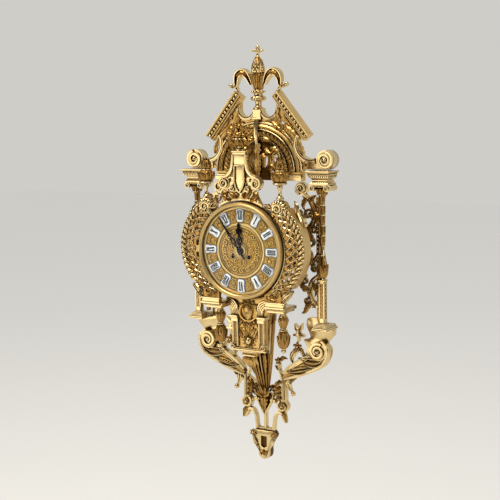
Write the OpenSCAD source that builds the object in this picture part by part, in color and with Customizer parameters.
// Gilt-bronze wall clock of cartel form: a pierced architectural case carrying a
// glazed round dial with enamel numeral plaques, and a spring-driven striking
// movement with a short pendulum behind it.
// Millimetres. X to the right, Y towards the wall, Z up; the hanging hole is the
// origin. Heights are taken from the dial centre and depths from the wall.

/* [Case] */
// Dial centre below the hanging hole
dial_drop = 200; // [196:1:204]
// Half distance between the column axes
column_x = 131; // [130:0.5:133]
// Column axes in front of the wall
column_off = 14; // [13:0.5:16]
// Top of the entablatures above the dial centre
entab_z = 140; // [139:0.5:142]
// Underside of the column bases below the dial centre
base_z = 141; // [139:0.5:143]
// Outer radius of the arch
arch_r = 90; // [88:0.5:91]
// Thickness of the pediment casting
ped_t = 10; // [8:0.5:12]
// Thickness of the raking cornices across the slope
rake_t = 17; // [15:0.5:18]
// Total height of the finial above its post
finial_h = 113; // [108:1:118]
// Lowest point of the pendant below the dial centre
tip_z = 400; // [396:1:404]
// Thickness of the flat rear castings
rear_t = 8; // [7:0.5:9]
// Front of the pierced wings in front of the wall
front_off = 88; // [87:0.5:90]

/* [Drum and dial] */
// Outer radius of the drum case
drum_r = 72; // [71:0.5:73]
// Wall of the drum case
drum_wall = 2; // [1.5:0.25:2.5]
// Front face of the drum flange in front of the wall
flange_off = 84; // [83:0.5:85]
// Radius of the dial plate
dial_r = 79; // [77.5:0.25:80.5]
// Thickness of the dial plate
dial_t = 3; // [2.5:0.25:3.5]
// Width of the bezel outside the dial
bezel_w = 7; // [6.5:0.25:7.5]
// Depth of the bezel ring
bezel_t = 12.5; // [12:0.25:13]
// Rise of the domed glass
glass_rise = 22; // [20:0.5:24]
// Thickness of the glass
glass_t = 1.8; // [1.5:0.1:2]

/* [Movement] */
// Radius of the movement plates
plate_r = 45; // [44:0.5:47]
// Thickness of the movement plates
plate_t = 2; // [1.8:0.1:2.2]
// Distance between the movement plates
plate_gap = 26; // [25.8:0.1:27]
// Winding arbors to either side of the dial centre
winder_x = 16.5; // [16.4:0.05:16.8]
// Winding arbors below the dial centre
winder_z = 11; // [10.8:0.05:11.2]
// Teeth of the great wheels
great_n = 72; // [72:2:74]
// Teeth of the centre wheel
centre_n = 72; // [70:2:74]
// Teeth of the third wheel
third_n = 60; // [58:2:62]
// Teeth of the escape wheel
escape_n = 52; // [48:2:54]
// Length of the pendulum from its suspension to the bob centre
pendulum_l = 82.7; // [80:0.1:84]
// Radius of the pendulum bob
bob_r = 12; // [10:0.5:12.5]
// Radius of the bell
bell_r = 28; // [26:0.5:28]

/* [Fits] */
// Gap at joints between the castings
seat = 0.3; // [0.2:0.05:0.35]
// Radial clearance of turning arbors and pins
run = 0.05; // [0.03:0.01:0.08]
// Radius of the hanging hole
hang_r = 4; // [3.5:0.25:4.5]

/* [Hidden] */
$fn = 48;
GILT = "#c99a45";
BRASS = "#c8a24f";
STEEL = "#3a3f55";

ped_back = column_off - 2;
shaft_off = column_off + 14;
side_off = shaft_off - 9;
ped_front = ped_back + ped_t;
rear_back = ped_back - rear_t;
arch_z = entab_z - 4;
arch_top = arch_z + arch_r;
post_w = 16;
post_top = arch_top + 21;
cap_z = entab_z - 43;
volute_r = 18;
volute_c = [column_x + 5, entab_z + volute_r];
rake_hi = [30.5, arch_top + 43];
rake_lo = [93.5, arch_top - 35];
rake_len = norm(rake_hi - rake_lo);
rake_a = atan2(rake_hi[1] - rake_lo[1], rake_lo[0] - rake_hi[0]);
bezel_r = dial_r + bezel_w;
flange_r = bezel_r + 2;
skin_r = flange_r + seat;
wing_c = [flange_r - 54.5, 3.8];
wing_r = 93.5;
roll_c = [75, 76 + flange_r - 88];
roll_r = 16;
console_z = 98;
gaine_top = 66;
gaine_tip = 277;
panel_off = flange_off - 29;
tail_join = base_z + 101;
hinge_x = bezel_r + 4;
hinge_off = flange_off + 7;
glass_off = flange_off + bezel_t - 2.5;
glass_er = bezel_r - 5;
glass_R = (glass_er * glass_er + glass_rise * glass_rise) / 2 / glass_rise;
plate_f = flange_off - 6;
plate_b = plate_f - plate_t - plate_gap - plate_t;
inner_f = plate_f - plate_t;
inner_b = plate_b + plate_t;
hour_off = flange_off + 6.4;
minute_off = flange_off + 8.3;
minute_l = dial_r - 5;
hour_l = dial_r - 29;
plaque_r = dial_r - 17.5;
pivot = 0.55;

// Wheel modules, from the largest wheel each pair has room for
great_m = 30.2 / great_n;
second_n = 64;
leaf_n = 8;
centre_m = 27.5 / centre_n;
third_m = 20 / third_n;
pin_n = 6;
cannon_n = 12;
cannon_m = 0.5;
minwheel_n = 36;
minpin_n = 10;
hour_n = 40;
motion_d = (cannon_n + minwheel_n) * cannon_m / 2;
hour_m = motion_d * 2 / (minpin_n + hour_n);
escape_r = 8;

// Arbor positions in the front view
centre_p = [0, 0];
going_p = [winder_x, -winder_z];
strike_p = [-winder_x, -winder_z];
escape_p = [0, (centre_n / 2 + 0.6 * pin_n) * centre_m + 5];
third_p = meet(centre_p, (centre_n + pin_n) * centre_m / 2,
               escape_p, (third_n + pin_n) * third_m / 2);
second_p = meet(centre_p, (second_n + leaf_n) * great_m / 2,
                going_p, (great_n + leaf_n) * great_m / 2);
motion_p = [0, motion_d];
anchor_p = escape_p + [0, escape_r + 3];
pinwheel_p = strike_p - [0, (great_n + leaf_n) * great_m / 2];
bell_p = [20, -8];
hammer_p = [34, 24];
bell_off = plate_b - 12;

// Geometry helpers

// Point left of the line from a to b at distances ra and rb from them
function meet(a, ra, b, rb) =
    let (d = norm(b - a), u = (b - a) / d,
         f = (ra * ra - rb * rb + d * d) / 2 / d, h = sqrt(ra * ra - f * f))
    a + u * f + [-u[1], u[0]] * h;

function flip(p) = [for (i = [len(p) - 1:-1:0]) p[i]];
function mirrored(p) = [for (i = [len(p) - 1:-1:0]) [-p[i][0], p[i][1]]];
function polar(r, a) = r * [cos(a), sin(a)];

// Smooth curve through the given points, with n steps between neighbours
function curve_at(a, b, c, d, t) = 0.5 * (2 * b + (c - a) * t
    + (2 * a - 5 * b + 4 * c - d) * t * t + (3 * b - a - 3 * c + d) * t * t * t);
function smooth(p, n) = concat(
    [for (i = [0:len(p) - 2], k = [0:n - 1])
        curve_at(p[max(i - 1, 0)], p[i], p[i + 1], p[min(i + 2, len(p) - 1)], k / n)],
    [p[len(p) - 1]]);

function spiral(r0, r1, a0, a1, n) =
    [for (i = [0:n]) polar(r0 + (r1 - r0) * i / n, a0 + (a1 - a0) * i / n)];

// Band of varying half width along a path in the front view
function ribbon(p, w) =
    let (n = len(p) - 1,
         s = [for (i = [0:n]) let (d = p[min(i + 1, n)] - p[max(i - 1, 0)])
              [-d[1], d[0]] / norm(d) * w[i]])
    concat([for (i = [0:n]) p[i] + s[i]], [for (i = [n:-1:0]) p[i] - s[i]]);

// Profile for turning, closed on the axis
function lathe(p, n) = concat([[0, p[0][1]]], smooth(p, n), [[0, p[len(p) - 1][1]]]);

module in_case() translate([0, 0, -dial_drop]) children();

module on_side(side) {
    if (side < 0) mirror([1, 0, 0]) children();
    else children();
}

// Front-view outline extruded between two distances from the wall
module relief(from, to) {
    translate([0, -from, 0]) rotate([90, 0, 0]) linear_extrude(to - from) children();
}

module at(p) translate([p[0], 0, p[1]]) children();

module at2(p) translate(p) children();

module spun(from) {
    translate([0, -from, 0]) rotate([90, 0, 0]) rotate_extrude($fn = 96) children();
}

module rod(p, r, from, to) at(p) relief(from, to) circle(r);

// Round cut right through the case from back to front
module bore(p, r) rod(p, r, -1, 200);

// Round-sided body along a front-view path, flattened to its own depth
module swept(path, off, wide, deep, sides = 10) {
    n = len(path);
    pts = [for (i = [0:n - 1])
        let (d = path[min(i + 1, n - 1)] - path[max(i - 1, 0)],
             s = [-d[1], d[0]] / norm(d))
        for (k = [0:sides - 1])
            let (a = 360 * k / sides, q = path[i] + s * wide[i] * cos(a))
            [q[0], -off - deep[i] * sin(a), q[1]]];
    walls = [for (i = [0:n - 2], k = [0:sides - 1], h = [0, 1])
        let (a = i * sides + k, b = i * sides + (k + 1) % sides)
        h == 0 ? [a, b + sides, b] : [a, a + sides, b + sides]];
    first = [for (k = [0:sides - 1]) k];
    last = [for (k = [sides - 1:-1:0]) (n - 1) * sides + k];
    polyhedron(pts, concat(walls, [first], [last]));
}

// Scroll eye with a raised spiral band
module volute(c, r, turns, from, to, start = 0, dir = 1) {
    at(c) {
        relief(from, from + 0.6 * (to - from)) circle(r);
        relief(from, to) polygon(concat(
            spiral(r, 0.34 * r, start, start + dir * 360 * turns, 16 * turns),
            flip(spiral(0.84 * r, 0.22 * r, start, start + dir * 360 * turns, 16 * turns))));
        relief(from, to + 0.1 * r) circle(0.24 * r);
    }
}

// Pointed leaf lying along +X
module leaf(len, w) polygon(concat(
    [for (i = [0:7]) [len * i / 8, w * sin(180 * pow(i / 8, 0.75))]],
    [[len, 0]],
    [for (i = [7:-1:1]) [len * i / 8, -w * sin(180 * pow(i / 8, 0.75))]]));

module leaf_at(p, a, len, w) translate(p) rotate(a) leaf(len, w);

// Clock wheel with rounded tooth tips rolled by its mating pinion
module wheel2d(n, m, mate, phase) {
    r = n * m / 2;
    q = mate * m / 4;
    tip = 1.05 * m;
    half = 84 / n;
    flank = [for (k = [0:2])
        let (g = r + tip * k / 2,
             f = q / r * acos(min(1, ((r + q) * (r + q) + q * q - g * g) / 2 / q / (r + q))),
             x = (r + q) * cos(f) - q * cos((r + q) / q * f),
             y = (r + q) * sin(f) - q * sin((r + q) / q * f))
        [g, min(atan2(y, x), 0.9 * half)]];
    rotate(phase) polygon([for (i = [0:n - 1], k = [0:7])
        let (c = 360 * i / n)
        k == 0 ? polar(r - 1.2 * m, c - half)
        : k < 4 ? polar(flank[k - 1][0], c - half + flank[k - 1][1])
        : k < 7 ? polar(flank[6 - k][0], c + half - flank[6 - k][1])
        : polar(r - 1.2 * m, c + half)]);
}

// Pinion with radial leaves and rounded tips
module pinion2d(n, m, phase) {
    r = n * m / 2;
    half = 64 / n;
    steps = [[r - 1.4 * m, 1], [r, 1], [r + 0.35 * m, 0.7], [r + 0.5 * m, 0.3]];
    rotate(phase) polygon([for (i = [0:n - 1], k = [0:7])
        let (s = steps[k < 4 ? k : 7 - k])
        polar(s[0], 360 * i / n + (k < 4 ? -1 : 1) * s[1] * half)]);
}

// Turn of a wheel or pinion that meshes with another standing at the given phase
function mesh(from, to, n, phase, leaves) =
    let (a = atan2(to[1] - from[1], to[0] - from[0]))
    a + 180 - n / leaves * (phase - a) - 180 / leaves;

third_turn = mesh(centre_p, third_p, centre_n, 0, pin_n);
escape_turn = mesh(third_p, escape_p, third_n, third_turn, pin_n);
second_turn = mesh(centre_p, second_p, leaf_n, 0, second_n);
going_turn = mesh(second_p, going_p, leaf_n, second_turn, great_n);
motion_turn = mesh(centre_p, motion_p, cannon_n, 0, minwheel_n);
hour_turn = mesh(motion_p, centre_p, minpin_n, motion_turn, hour_n);
pinwheel_turn = mesh(strike_p, pinwheel_p, great_n, 0, leaf_n);

// Case castings

module rake_line() polygon([[-rake_lo[0], rake_lo[1]], [-rake_hi[0], rake_hi[1]],
                            rake_hi, rake_lo]);

module shoulder2d() difference() {
    union() {
        translate([68, entab_z]) square([39, rake_lo[1] - entab_z]);
        translate([98, entab_z]) square([volute_c[0] - 98, 20]);
    }
    translate([108, entab_z + 46]) circle(27);
}

module pediment() in_case() color(GILT) {
    relief(ped_back, ped_front) difference() {
        union() {
            rake_line();
            intersection() {
                translate([0, arch_z]) circle(arch_r);
                translate([-arch_r, arch_z - 16]) square([2 * arch_r, arch_r + 16]);
            }
            for (s = [0, 1]) mirror([s, 0]) shoulder2d();
            translate([-post_w / 2, arch_top - 6]) square([post_w, 12]);
        }
        translate([-11, post_top]) square([22, 60]);
        for (s = [-1, 1]) {
            translate([s * 23.5, arch_top + 22]) circle(14);
            translate([s * 23.5 - 14, arch_top + 22]) square([28, 40]);
            translate([s * 64, arch_top - 28]) circle(5);
            translate([s * 48, arch_top - 2]) circle(4);
            translate([s * 20, arch_z + 26]) circle(15);
            translate([s * 13, arch_z + 2]) circle(8);
            translate([s * 40, arch_z + 18]) circle(9);
            translate([s * 38, arch_z - 4]) circle(7);
            translate([s * 12, arch_z + 48]) circle(5);
        }
    }
    relief(ped_back, ped_front + 6)
        translate([-post_w / 2, arch_top + 5]) square([post_w, post_top - arch_top - 5]);
    translate([0, -ped_front, arch_z]) rotate([90, 0, 0]) {
        rotate_extrude(angle = 180) translate([arch_r - 4, 0]) circle(3.8);
        rotate_extrude(angle = 180) translate([arch_r - 14, 0]) circle(2.4);
        rotate_extrude(angle = 180) translate([arch_r - 27, 0]) circle(2);
        for (i = [0:14])
            rotate(6 + 12 * i) translate([arch_r - 20.5, 0, 0]) sphere(3.6, $fn = 24);
    }
    for (s = [0, 1]) mirror([s, 0, 0]) {
        volute(volute_c, volute_r, 1.75, column_off - 8, ped_front + 8, 90, -1);
        relief(ped_front, ped_front + 5) translate([58, arch_z - 15]) square([30, 7]);
    }
}

module raking_cornices() in_case() color(GILT) {
    eggs = 13;
    f = -ped_front;
    for (s = [0, 1]) mirror([s, 0, 0]) at(rake_hi) rotate([0, rake_a, 0]) {
        rotate([90, 0, 90]) linear_extrude(rake_len) polygon([[-ped_back, 0],
            [f - 4, 0], [f - 4, 4], [f - 7, 5], [f - 7, 7], [f - 5, 8], [f - 5, 12],
            [f - 12, rake_t - 3.5], [f - 12, rake_t], [-ped_back, rake_t]]);
        for (i = [0:eggs - 1])
            translate([rake_len * (i + 0.5) / eggs, f - 5, 10]) sphere(2.6, $fn = 24);
    }
}

module finial() in_case() color(GILT) {
    k = finial_h / 113;
    translate([0, -(ped_front - 2), post_top]) {
        rotate_extrude() union() {
            polygon(lathe([[9.5, 0], [9.5, 3 * k], [6, 6 * k], [5.4, 11 * k],
                [7, 15 * k], [11, 19 * k], [10, 23 * k], [8.5, 27 * k], [10, 31 * k],
                [7, 35 * k], [7, 40 * k], [9.5, 49 * k], [13.5, 60 * k], [12.5, 64 * k],
                [12.8, 71 * k], [10, 81 * k], [5, 89 * k], [2.6, 93 * k]], 2));
            translate([10.8, 19 * k]) circle(3.8);
            translate([9.4, 31 * k]) circle(3);
        }
        translate([-2.6, -2.6, 92 * k]) cube([5.2, 5.2, 18 * k]);
        translate([-9, -2.2, 100 * k]) cube([18, 4.4, 6 * k]);
        translate([-2.2, -7, 100 * k]) cube([4.4, 14, 6 * k]);
        for (s = [-1, 1]) translate([s * 8, 0, 103 * k]) sphere(3.4, $fn = 24);
        translate([0, 0, finial_h - 4]) sphere(4, $fn = 24);
    }
}

module tendrils() in_case() color(GILT) {
    k = finial_h / 113;
    h = post_top;
    for (s = [0, 1]) mirror([s, 0, 0]) {
        path = smooth([[14.5, h + 45 * k], [21, h + 60 * k], [31, h + 67 * k], [41, h + 62 * k],
            [45, h + 52 * k], [46, h + 42 * k], [51, h + 39.5], [57, h + 43]], 3);
        wide = smooth([2.2, 4.6, 6, 5, 4, 3, 2.4, 2], 3);
        deep = smooth([2.5, 6, 8, 7, 5, 4, 3, 2.4], 3);
        swept(path, ped_front - 2, wide, deep);
        translate([58, -(ped_front - 2), h + 43]) sphere(4.2, $fn = 24);
        relief(ped_front - 5, ped_front + 1)
            polygon(ribbon(smooth([[46, h + 41], [44, h + 37], [40.5, h + 34.5]], 2),
                           smooth([2.4, 2.6, 2.2], 2)));
    }
}

module box_at(x, z, w, h, from, to) translate([x - w / 2, -to, z]) cube([w, to - from, h]);

module entablature(side) in_case() color(GILT) on_side(side) {
    d = shaft_off;
    b = ped_back - 4;
    box_at(column_x, entab_z - 5, 46, 5, b, d + 21);
    box_at(column_x, entab_z - 9, 40, 4, b + 1, d + 17);
    for (i = [-4:4])
        box_at(column_x + i * 4.4, entab_z - 11.5, 2.4, 2.5, d + 8, d + 16);
    difference() {
        box_at(column_x, entab_z - 22, 36, 13, b + 2, d + 12);
        for (s = [-1, 1])
            translate([column_x + s * 22, 0, entab_z - 16])
                rotate([90, 0, 0]) cylinder(r = 8, h = 100);
    }
    box_at(column_x, entab_z - 25, 35, 3, b + 1, d + 12);
    for (s = [-1, 1]) {
        translate([column_x + s * 14.5, -b - 2, entab_z - 30])
            rotate([90, 0, 0]) cylinder(r = 6, h = d + 10 - b);
        translate([column_x + s * 14.5, -d - 12, entab_z - 30]) sphere(3, $fn = 24);
    }
    translate([column_x, -d, cap_z]) rotate_extrude()
        polygon(lathe([[6, 0], [8, 1.5], [7.4, 4], [9, 10], [13, 16], [13, 19]], 2));
    box_at(column_x, entab_z - 30, 29, 6, d - 11, d + 11);
}

module column(side) in_case() color(GILT) on_side(side) {
    d = shaft_off;
    stem = cap_z - 2;
    die = -base_z + 88;
    box_at(column_x, -base_z, 31, 5, 0, d + 16);
    box_at(column_x, -base_z + 5, 26, 4, 2, d + 13);
    box_at(column_x, -base_z + 9, 21, 4, d - 11, d + 10.5);
    difference() {
        box_at(column_x, -base_z + 13, 11, 75, d - 5.5, d + 5.5);
        box_at(column_x, -base_z + 24, 6, 58, d + 4.4, d + 6);
        translate([column_x + 4.4, -d - 3, -base_z + 24]) cube([2, 6, 58]);
        translate([column_x - 6.4, -d - 3, -base_z + 24]) cube([2, 6, 58]);
    }
    box_at(column_x, die - 1, 14, 3, d - 7, d + 7);
    translate([column_x, -d, 0]) rotate_extrude() union() {
        polygon(lathe([[5, die + 1], [4.2, die + 5], [7.4, die + 14], [8, die + 22],
            [6, die + 34], [3.8, die + 44], [5, die + 48], [3.6, die + 54],
            [3.4, stem - 24], [4, stem - 6], [6.4, stem], [6.4, cap_z]], 2));
        for (i = [0:4]) translate([3.2, die + 62 + i * (stem - die - 70) / 5]) circle(1.9);
    }
}

module side_panel(side) in_case() color(GILT) difference() {
    on_side(side) side_casting();
    bore([0, 0], drum_r + seat);
}

module side_casting() {
    x = column_x - 10 - seat;
    low = -base_z + 13 + seat;
    relief(side_off - 5, side_off + 2) {
        translate([x - 6, low]) square([6, cap_z - 4 - low]);
        difference() {
            translate([86, arch_z - 16 - 12.5 - seat]) circle(12.5);
            translate([86, arch_z - 16 - 12.5 - seat]) circle(6.5);
        }
        polygon(ribbon(smooth([[90, 98], [103, 86], [111, 68], [109, 50], [98, 38],
            [84, 33], [66, 31]], 3), smooth([4, 4.5, 5, 4.5, 4, 4, 5], 3)));
        polygon(ribbon(smooth([[x - 3, -8], [108, -22], [94, -27], [80, -25], [66.5, -29.5]], 3),
                       smooth([3, 4, 4.5, 4, 5], 3)));
        polygon(ribbon(smooth([[x - 3, -46], [106, -56], [100, -74], [106, -92], [x - 3, -104]], 3),
                       smooth([3, 4, 5, 4, 3], 3)));
        leaf_at([111, 62], -40, 22, 6);
        leaf_at([104, 84], 50, 16, 5);
        leaf_at([100, 40], -70, 34, 6);
        leaf_at([106, -20], 100, 30, 6);
        leaf_at([100, -72], 170, 26, 7);
        leaf_at([105, -92], 220, 28, 6);
        translate([108, 58]) square([x - 108, 6]);
        translate([106, -70]) square([x - 106, 5]);
    }
    relief(side_off + 2, side_off + 6) {
        translate([86, arch_z - 16 - 12.5 - seat]) circle(4);
        translate([109, 60]) circle(4.5);
        translate([101, -74]) circle(5);
    }
    relief(side_off - 5, side_off + 6)
        translate([86, arch_z - 16 - 12.5 - seat]) circle(7);
}

module bracket(side) in_case() color(GILT) on_side(side) {
    z = base_z - 141;
    eye = [column_x - 14, -183 - z];
    b = -base_z;
    fleur = [72.5, b - 18];
    flower = fleur - [1, 20.5];
    relief(rear_back, ped_back) {
        polygon([[column_x + 15, b], [column_x + 13, b - 12], [column_x + 2, b - 24], eye + [6, 0],
            eye + [-6, -20], [88, b - 57], [89, b - 36], [82, b - 26], [82, b - 19], [90, b - 21],
            [97, b - 18], [92, b - 6], [89, b + 2], [91, b + 14], [98, b + 17], [113, b + 17], [113, b]]);
        translate(eye) circle(19);
        translate(fleur) circle(4);
        for (a = [[62, 25, 5], [118, 25, 5], [0, 14, 3.4], [180, 12, 3.4], [-90, 22, 3.4]])
            leaf_at(fleur, a[0], a[1], a[2]);
        translate(flower) circle(8);
        polygon(ribbon(smooth([flower + [-2, -4], flower + [-9, -14], flower + [-12, -25],
            flower + [-9, -37]], 3), smooth([5, 4, 5, 5], 3)));
    }
    at(flower) relief(ped_back, ped_back + 5) circle(6);
    path = smooth([eye + [3, 19], eye + [18, 6], eye + [15, -9], eye + [4, -18], eye + [-10, -23],
        eye + [-28, -30], eye + [-48, -39], eye + [-64, -49], eye + [-77, -58]], 4);
    wide = smooth([3, 4, 6, 9, 13, 14.5, 14, 10, 6], 4);
    deep = smooth([7, 8, 9, 10, 12, 12, 11, 9, 6], 4);
    difference() {
        swept(path, ped_back + 2, wide, deep, 12);
        translate([20, -60, -tail_join - 60]) cube([29, 60, 60]);
    }
    volute(eye, 17, 1.5, ped_back, ped_back + 14, 60, 1);
    drop = smooth([eye + [-64, -50], eye + [-65, -66], eye + [-62, -77], eye + [-57, -84]], 4);
    swept(drop, ped_back, smooth([4, 4.4, 3.4, 2.4], 4), smooth([5, 4.5, 3.4, 2.6], 4));
    translate([eye[0] - 56.5, -ped_back, eye[1] - 86]) sphere(4, $fn = 24);
}

module tail() in_case() color(GILT) {
    z = base_z - 141;
    top = -262 - z;
    low = -tip_z + 55;
    head = -tail_join - seat;
    relief(rear_back, ped_back) {
        for (s = [0, 1]) mirror([s, 0]) {
            polygon(ribbon(smooth([[40, head], [40, top], [40.5, top - 16], [38.5, top - 34]], 3),
                           smooth([5.5, 5.5, 5.5, 6], 3)));
            polygon(ribbon(smooth([[37, head - 4], [28, top + 10], [18, top + 2], [2, top - 2]], 3),
                           smooth([2.6, 2.6, 3, 3], 3)));
            polygon(ribbon(smooth([[38, top - 6], [26, top - 6], [14, top - 12], [2, top - 14]], 3),
                           smooth([5, 5, 5, 4], 3)));
            polygon(ribbon(smooth([[38, top - 31], [25, top - 27], [12, top - 26]], 3),
                           smooth([4, 3, 3], 3)));
            translate([38.5, top - 33]) circle(11);
            polygon(ribbon(smooth([[38.5, top - 36], [38, top - 48], [41, top - 58], [44, top - 64]], 3),
                           smooth([6, 5, 4, 1.5], 3)));
            polygon(ribbon(smooth([[40, top - 53], [33, top - 47], [26, top - 48.5], [20.5, top - 57],
                [19, top - 66], [17, low]], 3), smooth([2, 3, 3, 2.6, 2.6, 3], 3)));
            polygon([[0, top - 12], [20, top - 12], [15, top - 28], [7, top - 42], [0, top - 53]]);
        }
        translate([-3, low]) square([6, top + 50 - low]);
        translate([-20, low]) square([40, 4]);
    }
    for (s = [-1, 1]) {
        at([s * 38.5, top - 33]) relief(ped_back, ped_back + 3) circle(9.5);
        translate([s * 38.5, -ped_back - 3, top - 33]) sphere(5, $fn = 24);
    }
    relief(ped_back, ped_back + 5) leaf_at([0, -gaine_tip - 1], -90, 40, 9);
}

module pendant() in_case() color(GILT) {
    low = -tip_z + 55 - seat;
    half = smooth([[20, low], [24, low - 8], [17, low - 20], [12, low - 32], [12, low - 42],
                   [10, low - 50], [4, -tip_z + 0.6], [0, -tip_z]], 3);
    difference() {
        relief(rear_back - 2, ped_back + 6) polygon(concat(half, mirrored(half)));
        relief(ped_back + 4, ped_back + 8) translate([-5, low - 30]) square([10, 20]);
    }
    for (s = [-1, 1]) {
        at([s * 23, low - 6]) relief(rear_back - 1, ped_back + 8) circle(5.6);
        at([s * 23, low - 6]) relief(ped_back + 8, ped_back + 10) circle(2.6);
    }
    translate([0, -ped_back - 5, low - 43]) sphere(7, $fn = 32);
}

// Body lofted through half-round sections, each a height, half width and depth
module half_loft(rows, back, flute) {
    k = 36;
    n = len(rows);
    pts = [for (r = rows, i = [0:k])
        let (a = 180 * i / k, f = 1 + flute * cos(a * 18))
        [r[1] * f * cos(a), -back - r[2] * f * sin(a), -r[0]]];
    walls = [for (j = [0:n - 2], i = [0:k], h = [0, 1])
        let (a = j * (k + 1) + i, b = j * (k + 1) + (i + 1) % (k + 1))
        h == 0 ? [a, b + k + 1, b] : [a, a + k + 1, b + k + 1]];
    polyhedron(pts, concat(walls, [[for (i = [0:k]) i]],
                           [[for (i = [k:-1:0]) (n - 1) * (k + 1) + i]]));
}

// Fluted lower body, cast hollow and open at the back
module gaine() in_case() color(GILT) {
    back = ped_back + seat / 2;
    rows = [[gaine_top, 56, 47], [95, 41, 47], [125, 27, 47], [160, 23, 46],
            [195, 19.5, 40], [225, 16.5, 28], [255, 12, 15], [gaine_tip, 7, 9]];
    core = [for (i = [0:6]) [rows[i][0] - (i == 0 ? 2 : 6), rows[i][1] - 6, rows[i][2] - 6]];
    difference() {
        half_loft(smooth(rows, 2), back, 0.035);
        half_loft(smooth(core, 2), back - 1, 0);
        bore([0, 0], drum_r + seat);
        translate([-100, -200, -300]) cube([200, 200 - panel_off, 300]);
    }
}

module mask_panel() in_case() color(GILT) {
    back = panel_off + seat;
    half = smooth([[42, -84], [41, -100], [39, -118], [35, -126], [34, -140], [34, -170],
                   [37, -180], [37, -185], [16, -188], [14, -195]], 2);
    relief(back, back + 10) difference() {
        polygon(concat(half, mirrored(half)));
        circle(skin_r, $fn = 96);
    }
    for (s = [0, 1]) mirror([s, 0, 0]) {
        relief(back + 10, back + 15) polygon(ribbon(smooth([[39, -90], [34, -98], [29.5, -108],
            [29, -119]], 4), smooth([4, 5.5, 6.5, 7], 4)));
        relief(back + 10, back + 18) translate([20, -124]) square([18.5, 4]);
        relief(back + 10, back + 13) translate([21, -177]) square([12.5, 53]);
        relief(back + 10, back + 13) polygon(ribbon(smooth([[14, -138], [12, -150], [17, -160],
            [16, -170], [8, -176]], 3), smooth([2, 2.4, 3, 2.4, 1.6], 3)));
    }
    translate([0, -back - 10, -113.5]) rotate([90, 0, 0])
        rotate_extrude() translate([16.5, 0]) circle(2.2);
    difference() {
        translate([0, -back - 10, -127]) rotate_extrude()
            polygon(lathe([[3, -1], [8, 2], [11, 9], [11.5, 15], [10, 22], [6, 26], [2, 27.5]], 2));
        translate([-15, -back, -130]) cube([30, 10, 45]);
    }
    relief(back + 10, back + 14) for (a = [-50, 0, 50]) leaf_at([0, -134], -90 + a, 18, 5);
    translate([0, -back - 10, -166]) {
        sphere(7.5, $fn = 32);
        rotate([90, 0, 0]) rotate_extrude() translate([9, 0]) circle(2);
    }
    relief(back + 10, back + 14) translate([-37, -185]) square([74, 5]);
    relief(back + 10, back + 12) translate([-14, -195]) square([28, 4]);
}

module wing_sector() intersection() {
    polygon([[0, 0], [170, 152], [220, 0], [170, -112]]);
    translate([0, -64]) square([200, 200]);
    children();
}

module wing(side) in_case() color(GILT) difference() {
    on_side(side) wing_casting();
    if (side < 0) translate([-hinge_x - 3, -front_off - 10, -15]) cube([8, 40, 30]);
}

module wing_casting() {
    f = front_off;
    relief(f - 7, f) difference() {
        wing_sector() difference() {
            translate(wing_c) circle(wing_r, $fn = 96);
            circle(skin_r, $fn = 96);
        }
        for (a = [-21:7:28], j = [0, 1])
            translate(polar(skin_r + 7 + 9 * j, a + 3.5 * j)) circle(2.7, $fn = 24);
        translate(roll_c) circle(roll_r - 1);
    }
    relief(f - 26, f + 2) wing_sector() difference() {
        translate(wing_c) circle(wing_r, $fn = 96);
        translate(wing_c) circle(wing_r - 4, $fn = 96);
        translate(roll_c) circle(roll_r - 1);
    }
    relief(f - 7, f + 2) wing_sector() difference() {
        circle(skin_r + 3, $fn = 96);
        circle(skin_r, $fn = 96);
    }
    for (a = [-38:8.5:48])
        translate([wing_c[0] + (wing_r - 6) * cos(a), -f, wing_c[1] + (wing_r - 6) * sin(a)])
            sphere(4.4, $fn = 24);
    volute(roll_c, roll_r, 1.5, f - 20, f + 2, 200, -1);
}

module console(side) in_case() color(GILT) on_side(side) {
    f = front_off;
    relief(f - 7, f) difference() {
        polygon([[62, -64 - seat], [104, -64 - seat], [95, -76], [85, -86], [83, -console_z],
                 [47, -console_z], [47, -60]]);
        circle(skin_r, $fn = 96);
    }
    box_at(65, -console_z - 6, 40, 6, f - 48, f - 5);
    box_at(65, -console_z - 10, 34, 4, f - 46, f - 7);
    for (i = [-3:3]) translate([65 + i * 5.2, 7 - f, -console_z - 8]) sphere(2, $fn = 24);
    translate([66, 33 - f, -console_z - 87]) rotate_extrude()
        polygon(lathe([[1.5, 0], [6, 4], [8.5, 11], [10, 22], [10.5, 33], [8, 40], [5.5, 44],
                       [7, 52], [9.8, 60], [8, 65], [5, 68], [6.5, 71], [7, 77]], 2));
}

module crest() in_case() color(GILT) {
    f = front_off;
    half = smooth([[15, 176], [15, 158], [19, 140], [34, 130], [44, 120], [38, 108], [28, 106],
                   [30, 96], [44, 82]], 3);
    relief(f - 10, f - 2) difference() {
        polygon(concat(half, mirrored(half)));
        circle(skin_r, $fn = 96);
        for (s = [-1, 1]) {
            translate([s * 13, 98]) circle(4.5);
            translate([s * 15, 124]) circle(3);
        }
    }
    for (s = [0, 1]) mirror([s, 0, 0]) {
        volute([33, 119], 11, 1.5, f - 10, f + 3, 90, -1);
        volute([17, 109], 6, 1.25, f - 10, f + 2, 90, 1);
        relief(f - 2, f + 2) polygon(ribbon(smooth([[13, 175], [13, 158], [17, 142], [30, 130]], 3),
                                            smooth([2, 2, 2.4, 2], 3)));
        relief(f - 2, f + 1) leaf_at([20, 92], 60, 14, 4);
    }
    relief(f - 2, f + 3) polygon([[-10, 151], [10, 151], [10, 120], [6, 108], [0, 102],
                                  [-6, 108], [-10, 120]]);
    box_at(0, 168, 29, 8, f - 14, f + 3);
    box_at(0, 158, 22, 5, f - 10, f + 1);
}

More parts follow.
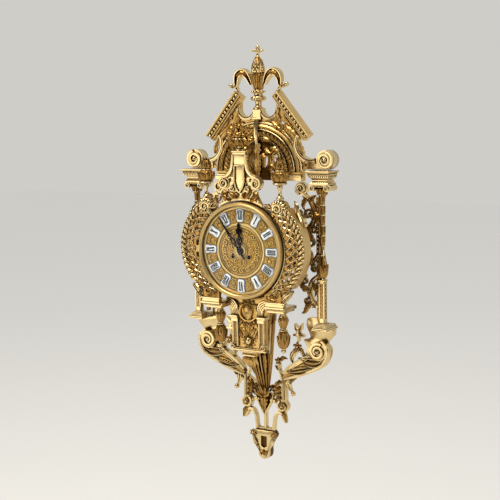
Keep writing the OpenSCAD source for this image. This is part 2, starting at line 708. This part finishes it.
module basket() in_case() color(GILT) {
    f = front_off - 5;
    translate([0, -f, 176]) {
        rotate_extrude() polygon(lathe([[9, 0], [9, 2.5], [5, 5], [6, 9], [11, 14], [13.5, 21],
                                        [13, 24]], 2));
        for (p = [[-8, 27, 6.5], [8, 27, 6.5], [0, 28, 7.5], [-5, 35, 6], [6, 35, 6], [0, 42, 6.5]])
            translate([p[0], -2, p[1]]) sphere(p[2], $fn = 24);
        for (i = [0:5]) translate(concat(polar(11, 60 * i + 30), 26)) sphere(5, $fn = 24);
    }
    for (s = [0, 1]) mirror([s, 0, 0])
        relief(f - 3, f + 3) {
            leaf_at([9, 198], 25, 21, 5);
            leaf_at([7, 205], 55, 20, 5);
            leaf_at([10, 192], -8, 18, 4);
        }
}

module urns() in_case() color(GILT) {
    z = roll_c[1] + roll_r + seat;
    for (s = [-1, 1]) translate([s * 76, -front_off + 9, z]) {
        rotate_extrude() union() {
            polygon(lathe([[7, 0], [7, 3], [3.4, 7], [2.8, 16], [4.5, 21], [4, 24], [11, 30],
                [14, 39], [12.5, 46], [8, 49], [9, 52], [7, 58], [3, 67], [1.5, 71]], 2));
            translate([10.4, 27]) circle(2.4);
            translate([6.5, 49]) circle(2);
        }
    }
}

module hanger() color(GILT) {
    difference() {
        relief(0, 3) union() {
            circle(12);
            translate([-16, -26]) square([32, 26]);
        }
        relief(-1, 4) circle(hang_r);
    }
    for (s = [-1, 1]) rod([s * 10, -20], 5, 3, ped_back);
}

module case_nuts() in_case() color(BRASS) {
    spots = [[60, entab_z + 6], [88, entab_z + 8], [50, arch_z + 52]];
    for (s = [-1, 1], p = spots)
        at([s * p[0], p[1]]) {
            relief(ped_back - 4, ped_back) circle(5, $fn = 6);
            relief(ped_back - 6, ped_back - 4) circle(2.4);
        }
}

module drum() in_case() color(BRASS) {
    spun(6) union() {
        translate([drum_r - drum_wall, 0]) square([drum_wall, flange_off - 6]);
        translate([drum_r - 10, 0]) square([10, 2]);
        translate([drum_r - drum_wall, flange_off - 10])
            square([flange_r - drum_r + drum_wall, 4]);
    }
    for (z = [8 + seat, -14]) difference() {
        union() {
            translate([drum_r - 8, -4, z]) cylinder(r = 2, h = 6 - seat);
            translate([drum_r - 9, -6, z]) cube([7, 2, 6 - seat]);
        }
        translate([drum_r - 8, -4, z - 1]) cylinder(r = 0.9, h = 9);
    }
    for (z = [6 + seat, -14]) difference() {
        union() {
            translate([-hinge_x, -hinge_off, z]) cylinder(r = 2.4, h = 8 - seat);
            translate([-hinge_x - 2.4, -hinge_off, z])
                cube([2.2, hinge_off - flange_off + 4, 8 - seat]);
            translate([-hinge_x - 2.4, -flange_off, z]) cube([8, 4, 8 - seat]);
        }
        translate([-hinge_x, -hinge_off, z - 1]) cylinder(r = 1.2, h = 10);
    }
}

module dial_plate() in_case() color(GILT) {
    difference() {
        union() {
            spun(flange_off) union() {
                square([dial_r, dial_t]);
                translate([dial_r - 3.5, dial_t]) circle(1.4);
                translate([dial_r - 32, dial_t]) circle(2.2);
                square([dial_r - 37, dial_t + 1.5]);
                translate([15, dial_t + 1.5]) circle(1.4);
                translate([dial_r - 41, dial_t + 1.5]) circle(1);
            }
            for (i = [0:2]) rod(polar(40, 90 + 120 * i), 2.5, plate_f, flange_off);
            for (i = [0:11]) {
                at(polar(dial_r - 18, 15 + 30 * i)) relief(flange_off, flange_off + dial_t + 2) circle(3.2);
                at(polar(dial_r - 9, 15 + 30 * i)) relief(flange_off, flange_off + dial_t + 1.6) circle(2.4);
            }
            for (i = [0:7]) at(polar(27, 22.5 + 45 * i))
                relief(flange_off, flange_off + dial_t + 2.6) circle(3.4);
        }
        bore([0, 0], 5.4);
        for (p = [going_p, strike_p]) bore(p, 3.6);
    }
}

module numeral_plaques() in_case() color("#f2f0e8") {
    half = smooth([[4.6, -10.5], [5.6, -6], [5, 0], [6.4, 6], [6.2, 9], [3.4, 10], [0, 11.5]], 2);
    for (i = [0:11]) rotate([0, 30 * i, 0]) at([0, plaque_r])
        relief(flange_off + dial_t, flange_off + dial_t + 2.2)
            polygon(concat(half, mirrored(half)));
}

module bezel() in_case() color(GILT) {
    d = bezel_t;
    spun(flange_off + 0.2) difference() {
        union() {
            translate([dial_r + 2, 0]) square([bezel_w - 2, d - 2]);
            polygon([[dial_r - 0.5, d - 4.6], [bezel_r - 1, d - 4.6], [bezel_r - 1, d - 1],
                     [bezel_r - 4, d + 0.6], [dial_r + 1, d - 0.4], [dial_r - 0.5, d - 2]]);
        }
        translate([dial_r - 0.6, d - 2.7 - glass_t - 0.2])
            square([glass_er + 0.2 - dial_r + 0.6, glass_t + 0.4]);
    }
    difference() {
        union() {
            translate([-hinge_x, -hinge_off, -6]) cylinder(r = 2.4, h = 12);
            translate([-hinge_x, -hinge_off - 2.2, -6]) cube([7, 3, 12]);
        }
        translate([-hinge_x, -hinge_off, -7]) cylinder(r = 1.2 + run, h = 14);
        bore([0, 0], bezel_r - 1.5);
    }
}

// Domed glass with a flat edge held in the bezel groove
module glass() in_case() color("#dfe8ee", 0.3) {
    o = glass_off;
    lip = dial_r - 1.5;
    sag = sqrt(glass_R * glass_R - lip * lip) - (glass_R - glass_rise);
    spun(o - glass_t + 0.1) union() {
        translate([lip - 1, 0]) square([glass_er - lip + 1, glass_t]);
        difference() {
            intersection() {
                translate([0, glass_t - (glass_R - glass_rise) - sag]) circle(glass_R, $fn = 180);
                square([lip, 60]);
            }
            translate([0, glass_t - (glass_R - glass_rise) - sag])
                circle(glass_R - glass_t, $fn = 180);
        }
    }
}

module bezel_pin() in_case() color(STEEL)
    translate([-hinge_x, -hinge_off, -14.5]) cylinder(r = 1.2, h = 29);

module back_door() in_case() color(BRASS) {
    difference() {
        relief(6, 8) circle(drum_r - 10.5, $fn = 96);
        rod([0, -drum_r + 26], 2.5, 0, 20);
    }
    difference() {
        union() {
            translate([drum_r - 8, -4, -8]) cylinder(r = 1.8, h = 16);
            translate([drum_r - 16, -5.8, -8]) cube([8, 1.4, 16]);
            translate([drum_r - 16, -6.2, -8]) cube([4, 1, 16]);
        }
        translate([drum_r - 8, -4, -9]) cylinder(r = 0.9 + run, h = 18);
    }
    at([-drum_r + 18, 0]) relief(2.5, 6) circle(3);
}

module door_pin() in_case() color(STEEL)
    translate([drum_r - 8, -4, -14.2]) cylinder(r = 0.9, h = 28.4);

// Hands, drawn at twelve and set to the time shown

minute_at = 54;
hour_at = 11 + minute_at / 60;

module hour_hand() in_case() color(STEEL) rotate([0, 30 * hour_at, 0]) difference() {
    union() {
        relief(hour_off, hour_off + 1) circle(6);
        relief(hour_off, hour_off + 1) translate([-1.3, 0]) square([2.6, hour_l - 16]);
        relief(hour_off, hour_off + 1) leaf_at([0, hour_l - 22], 90, 22, 5);
        rod([0, 20], 3.2, hour_off, hour_off + 1);
    }
    bore([0, 0], 3.2 + run);
    bore([0, hour_l - 13], 2);
}

module minute_hand() in_case() color(STEEL) rotate([0, 6 * minute_at, 0]) difference() {
    union() {
        relief(minute_off, minute_off + 1) circle(4.4);
        relief(minute_off, minute_off + 1) translate([-1.1, -14]) square([2.2, minute_l]);
        relief(minute_off, minute_off + 1) leaf_at([0, minute_l - 26], 90, 26, 3.4);
        rod([0, -12], 2.4, minute_off, minute_off + 1);
        rod([0, 26], 2.6, minute_off, minute_off + 1);
    }
    bore([0, 0], 2 + run);
}

module hand_nut() in_case() color(BRASS) spun(minute_off + 1) difference() {
    square([3.4, 2]);
    translate([-1, -1]) square([3 + run, 2.4]);
}

// Movement

module holes(list) for (h = list) bore(h[0], h[1] + run);

module front_plate() in_case() color(BRASS) difference() {
    relief(inner_f, plate_f) circle(plate_r, $fn = 96);
    holes([[centre_p, 1.5], [going_p, 2.4], [strike_p, 2.4], [second_p, pivot], [third_p, pivot],
           [escape_p, pivot], [anchor_p, pivot], [pinwheel_p, pivot], [hammer_p, pivot],
           [motion_p, 0.9 - run]]);
}

module back_plate() in_case() color(BRASS) difference() {
    relief(plate_b, inner_b) circle(plate_r, $fn = 96);
    holes([[centre_p, 1.2], [going_p, 2], [strike_p, 2], [second_p, pivot], [third_p, pivot],
           [escape_p, pivot], [anchor_p, 1.5], [pinwheel_p, pivot], [hammer_p, 1.5]]);
}

module pillars() in_case() color(BRASS)
    for (a = [52, 128, 214, 326]) at(polar(plate_r - 4, a)) spun(inner_b)
        polygon(lathe([[3, 0], [3, 2], [2.2, 5], [3, plate_gap / 2], [2.2, plate_gap - 5],
                       [3, plate_gap - 2], [3, plate_gap]], 1));

// Arbor between the plates with a pivot at each end
module arbor(p, r) {
    rod(p, r, inner_b + 0.4, inner_f - 0.4);
    rod(p, pivot, plate_b + 0.2, plate_f - 0.2);
}

module centre_wheel() in_case() color(BRASS) {
    rod(centre_p, 1.05, inner_b + 0.4, inner_b + 5);
    rod(centre_p, 1.4, inner_b + 4.6, plate_f - 0.5);
    rod(centre_p, 1.2, plate_b + 0.2, inner_b + 1);
    rod(centre_p, 1.5, inner_f - 0.4, plate_f + 0.3);
    relief(inner_f - 2.4, inner_f - 1) difference() {
        wheel2d(centre_n, centre_m, pin_n, 0);
        for (i = [0:4]) translate(polar(8, 72 * i + 36)) circle(3);
    }
    relief(inner_b + 1, inner_b + 4.4) pinion2d(leaf_n, great_m, 0);
    relief(plate_f + 0.3, plate_f + 1.8) wheel2d(cannon_n, cannon_m, minwheel_n, 0);
    rod(centre_p, 2.1, plate_f + 1.7, minute_off);
    rod(centre_p, 2, minute_off - 0.5, minute_off + 2);
}

module hour_wheel() in_case() color(BRASS) {
    difference() {
        union() {
            relief(plate_f + 2.4, plate_f + 3.6) wheel2d(hour_n, hour_m, minpin_n, hour_turn);
            rod(centre_p, 3.8, plate_f + 2.2, hour_off - 0.4);
            rod(centre_p, 3.2, hour_off - 0.5, hour_off + 1.4);
        }
        bore(centre_p, 2.1 + run);
    }
}

module minute_wheel() in_case() color(BRASS) {
    relief(plate_f + 0.5, plate_f + 1.6) at2(motion_p) wheel2d(minwheel_n, cannon_m, cannon_n, motion_turn);
    relief(plate_f + 1.5, plate_f + 4) at2(motion_p) pinion2d(minpin_n, hour_m, motion_turn);
    rod(motion_p, 0.9 - run, inner_f + 0.2, plate_f + 4.6);
}

module second_wheel() in_case() color(BRASS) {
    rod(second_p, 1, inner_b + 0.4, inner_b + 8);
    rod(second_p, pivot, plate_b + 0.2, plate_f - 0.2);
    relief(inner_b + 2, inner_b + 3.2) at2(second_p) wheel2d(second_n, great_m, leaf_n, second_turn);
    relief(inner_b + 4.2, inner_b + 7.6) at2(second_p) pinion2d(leaf_n, great_m, second_turn);
}

module third_wheel() in_case() color(BRASS) {
    arbor(third_p, 0.65);
    relief(inner_f - 3, inner_f - 0.6) at2(third_p) pinion2d(pin_n, centre_m, third_turn);
    relief(inner_b + 9, inner_b + 10) at2(third_p) wheel2d(third_n, third_m, pin_n, third_turn);
}

module escape_wheel() in_case() color(BRASS) {
    arbor(escape_p, 0.55);
    relief(inner_b + 8.4, inner_b + 10.6) at2(escape_p) pinion2d(pin_n, third_m, escape_turn);
    relief(inner_b + 12, inner_b + 13) at2(escape_p)
        polygon([for (i = [0:escape_n - 1], k = [0:2])
            polar([escape_r - 1.3, escape_r, escape_r][k],
                  360 * (i + [0, 0.55, 0.75][k]) / escape_n)]);
}

module anchor() in_case() color(STEEL) {
    arbor(anchor_p, 1);
    rod(anchor_p, 1.5, plate_b - 2.6, inner_b - 0.2);
    reach = escape_r + 0.9;
    relief(inner_b + 11.6, inner_b + 13.4) difference() {
        union() {
            translate(anchor_p) circle(2.4);
            for (s = [-1, 1]) polygon([anchor_p + [0, 2], anchor_p + [s * 7.6, -2.4],
                escape_p + polar(reach + 2.6, 90 - s * 52), escape_p + polar(reach, 90 - s * 52),
                escape_p + polar(reach, 90 - s * 44), anchor_p + [s * 4, -2.2], anchor_p + [0, -1.6]]);
        }
        translate(escape_p) circle(escape_r + 0.9);
    }
    relief(plate_b - 2.4, plate_b - 1.2) {
        translate(anchor_p) circle(2.6);
        translate(anchor_p + [-1, -24]) square([2, 24]);
    }
    for (s = [-1, 1]) relief(plate_b - 8, plate_b - 1.2)
        translate(anchor_p + [s * 1.75 - 0.6, -24]) square([1.2, 3]);
    relief(plate_b - 2.4, plate_b - 1.2) translate(anchor_p + [-2.35, -24]) square([4.7, 3]);
}

pendulum_off = plate_b - 6;
lens_R = (bob_r * bob_r + 3.4 * 3.4) / 6.8;

module pendulum_rod() in_case() color(BRASS) {
    translate([anchor_p[0], -pendulum_off, anchor_p[1] - pendulum_l - bob_r - 3])
        cylinder(r = 1, h = pendulum_l + bob_r + 1);
    box_at(anchor_p[0], anchor_p[1] - 3, 5, 3, pendulum_off - 1.2, pendulum_off + 1.2);
    box_at(anchor_p[0], anchor_p[1] - 1, 3, 4, pendulum_off - 0.2, pendulum_off + 0.2);
}

module pendulum_bob() in_case() color(BRASS)
    translate([anchor_p[0], 0, anchor_p[1] - pendulum_l]) difference() {
        union() {
            intersection() {
                translate([0, lens_R - 3.4 - pendulum_off, 0]) sphere(lens_R, $fn = 96);
                translate([0, 3.4 - lens_R - pendulum_off, 0]) sphere(lens_R, $fn = 96);
            }
            translate([0, -pendulum_off, -bob_r - 2.6]) cylinder(r = 2.4, h = 4);
        }
        translate([0, -pendulum_off, -40]) cylinder(r = 1 + run, h = 80);
    }

module suspension_cock() in_case() color(BRASS) difference() {
    union() {
        box_at(anchor_p[0], anchor_p[1] + 3.6, 12, 4, pendulum_off - 2, plate_b);
        box_at(anchor_p[0], anchor_p[1] + 7, 20, 5, plate_b - 2, plate_b);
    }
    box_at(anchor_p[0], 0, 3.4, 100, pendulum_off - 0.4, pendulum_off + 0.4);
}

module barrel(p, turn) {
    difference() {
        union() {
            rod(p, 14, inner_b + 6, inner_f - 4);
            relief(inner_b + 5, inner_b + 6.4) at2(p) wheel2d(great_n, great_m, leaf_n, turn);
        }
        bore(p, 2.4 + run);
    }
}

module going_barrel() in_case() color(BRASS) barrel(going_p, going_turn);

module strike_barrel() in_case() color(BRASS) barrel(strike_p, 0);

module winder(p) {
    rod(p, 2.4, inner_b + 0.4, plate_f + 2.6);
    rod(p, 2, plate_b + 0.2, inner_b + 1);
    relief(plate_f + 0.4, plate_f + 1.6) at2(p)
        polygon([for (i = [0:17], k = [0, 1]) polar([6, 7][k], 20 * i + [0, 3][k])]);
    relief(plate_f + 2.4, flange_off + dial_t + 1) at2(p) square([3.4, 3.4], center = true);
}

module going_winder() in_case() color(STEEL) winder(going_p);

module strike_winder() in_case() color(STEEL) winder(strike_p);

module clicks() in_case() color(STEEL) for (p = [going_p, strike_p]) {
    q = p - [0, 11];
    relief(plate_f, plate_f + 1.4) difference() {
        union() {
            translate(q) circle(2);
            polygon([q + [0, 2], q + [6, 4.4], q + [6.6, 3.4], q + [1, -2]]);
        }
        translate(p) circle(7.4);
    }
}

module pin_wheel() in_case() color(BRASS) {
    arbor(pinwheel_p, 1);
    relief(inner_b + 4.2, inner_b + 7.6) at2(pinwheel_p) pinion2d(leaf_n, great_m, pinwheel_turn);
    relief(inner_b + 2, inner_b + 3.2) at2(pinwheel_p) difference() {
        circle(8);
        for (i = [0:3]) rotate(90 * i) translate([4.2, 0]) circle(1.8);
    }
    for (i = [0:7]) rod(pinwheel_p + polar(6.8, 45 * i), 0.5, inner_b + 0.8, inner_b + 2.2);
}

module hammer() in_case() color(STEEL) {
    tip = [bell_p[0], bell_p[1] + bell_r + 5.6];
    d = tip - hammer_p;
    arbor(hammer_p, 1);
    rod(hammer_p, 1.5, plate_b - 6, inner_b - 0.2);
    relief(plate_b - 6, plate_b - 4.4) {
        translate(hammer_p) circle(2.8);
        translate(hammer_p) rotate(atan2(d[1], d[0])) translate([0, -1]) square([norm(d), 2]);
        translate(tip) circle(3);
    }
    rod(tip, 4, bell_off - 6, plate_b - 4.4);
}

module bell() in_case() color(BRASS) at(bell_p) difference() {
    spun(bell_off - 20) difference() {
        polygon(lathe([[3, 0], [14, 1.4], [22, 5], [bell_r - 2, 12], [bell_r, 20]], 3));
        polygon(lathe([[1, 1.8], [13, 3], [20.6, 6.4], [bell_r - 4, 13], [bell_r - 2, 20]], 3));
    }
    bore([0, 0], 2 + run);
}

module bell_stand() in_case() color(STEEL) at(bell_p) {
    rod([0, 0], 2, bell_off - 23, plate_b);
    relief(bell_off - 22, bell_off - 20) circle(4.2, $fn = 6);
    rod([0, 0], 4, plate_b - 2, plate_b);
    rod([0, 0], 3.4, bell_off - 18.2 + 0.2, bell_off - 12);
}

pediment();
raking_cornices();
finial();
tendrils();
entablature(-1);  // left_entablature
entablature(1);  // right_entablature
column(-1);  // left_column
column(1);  // right_column
side_panel(-1);  // left_side_panel
side_panel(1);  // right_side_panel
bracket(-1);  // left_bracket
bracket(1);  // right_bracket
tail();
pendant();
gaine();
mask_panel();
wing(-1);  // left_wing
wing(1);  // right_wing
console(-1);  // left_console
console(1);  // right_console
crest();
basket();
urns();
hanger();
case_nuts();
drum();
dial_plate();
numeral_plaques();
bezel();
glass();
bezel_pin();
back_door();
door_pin();
hour_hand();
minute_hand();
hand_nut();
front_plate();
back_plate();
pillars();
centre_wheel();
hour_wheel();
minute_wheel();
second_wheel();
third_wheel();
escape_wheel();
anchor();
pendulum_rod();
pendulum_bob();
suspension_cock();
going_barrel();
strike_barrel();
going_winder();
strike_winder();
clicks();
pin_wheel();
hammer();
bell();
bell_stand();
